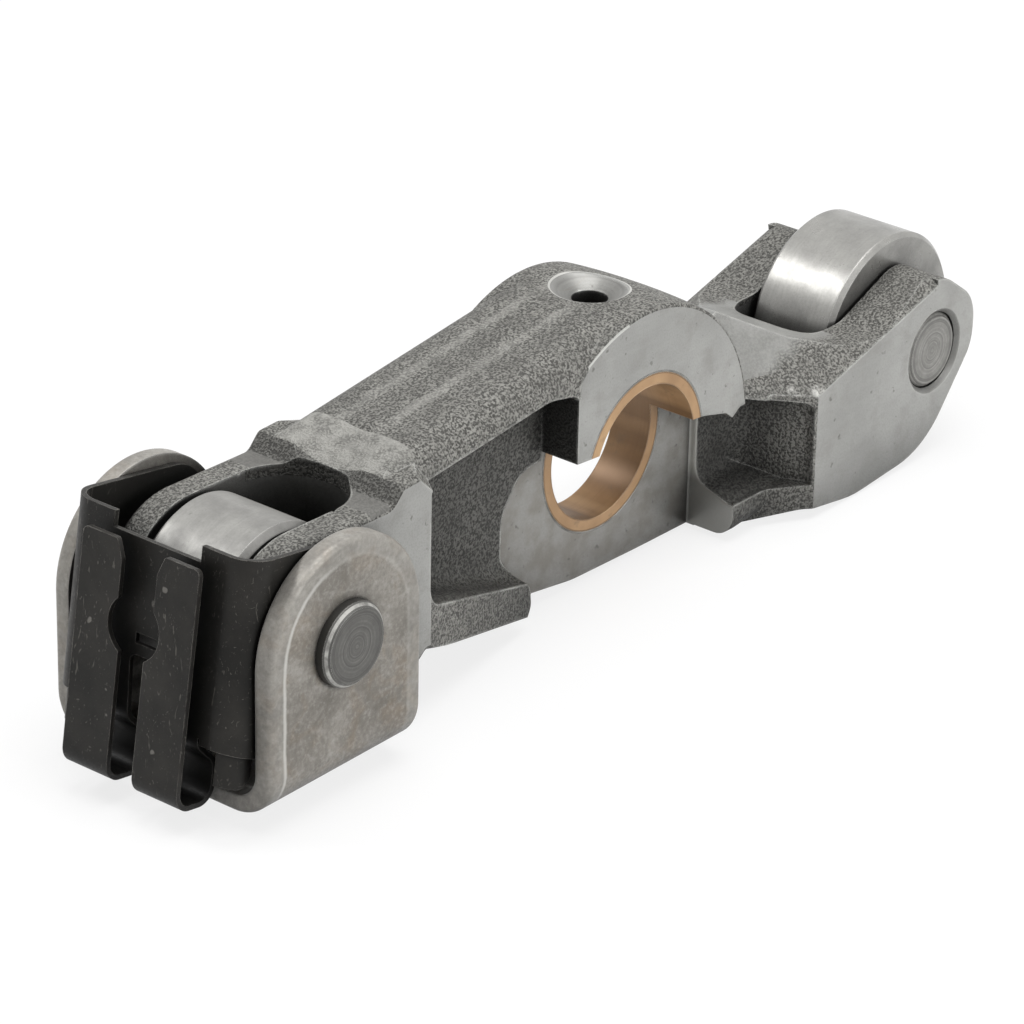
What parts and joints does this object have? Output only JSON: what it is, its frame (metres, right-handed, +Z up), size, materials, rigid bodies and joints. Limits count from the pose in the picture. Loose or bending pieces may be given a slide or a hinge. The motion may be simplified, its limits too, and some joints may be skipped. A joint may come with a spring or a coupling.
{
  "type": "rocker arm",
  "caption": "Cast roller rocker arm with a bronze-bushed shaft bore, a cam roller in its fork, and a nose roller with a swinging steel shoe and black spring clip.",
  "frame": {"origin": "the middle of the shaft bore, on its axis and on the arm's plane of symmetry", "axes": "+X from the bore towards the cam roller, along the arm; +Y along the bore; +Z up, the side with the oil hole"},
  "size_m": [0.2349, 0.0566, 0.0585],
  "materials": {
    "cast_body": "as-cast, machined faces",
    "bronze": "bored bronze",
    "roller_steel": "ground",
    "pin_steel": "turned",
    "shoe_steel": "pressed and tumbled",
    "clip_black": "black oxide, worn edges"
  },
  "bodies": {
    "arm": {"rocker_arm": "cast_body", "shaft_bush": "bronze", "cam_pin": "pin_steel", "nose_pin": "pin_steel"},
    "cam_wheel": {"cam_roller": "roller_steel", "cam_roller_bush": "bronze"},
    "nose_wheel": {"nose_roller": "roller_steel", "nose_roller_bush": "bronze"},
    "shoe_unit": {"shoe": "shoe_steel", "spring_clip": "clip_black"}
  },
  "joints": [
    {"name": "cam_roller_spin", "type": "hinge", "parent": "arm", "child": "cam_wheel", "pos_m": [0.086, 0, -0.0048], "axis": [0, 1, 0], "continuous": true},
    {"name": "nose_roller_spin", "type": "hinge", "parent": "arm", "child": "nose_wheel", "pos_m": [-0.0973, 0, 0.0037], "axis": [0, 1, 0], "continuous": true},
    {"name": "shoe_swing", "type": "hinge", "parent": "arm", "child": "shoe_unit", "pos_m": [-0.0973, 0, 0.0037], "axis": [0, 1, 0], "range_deg": [-10, 10]}
  ]
}
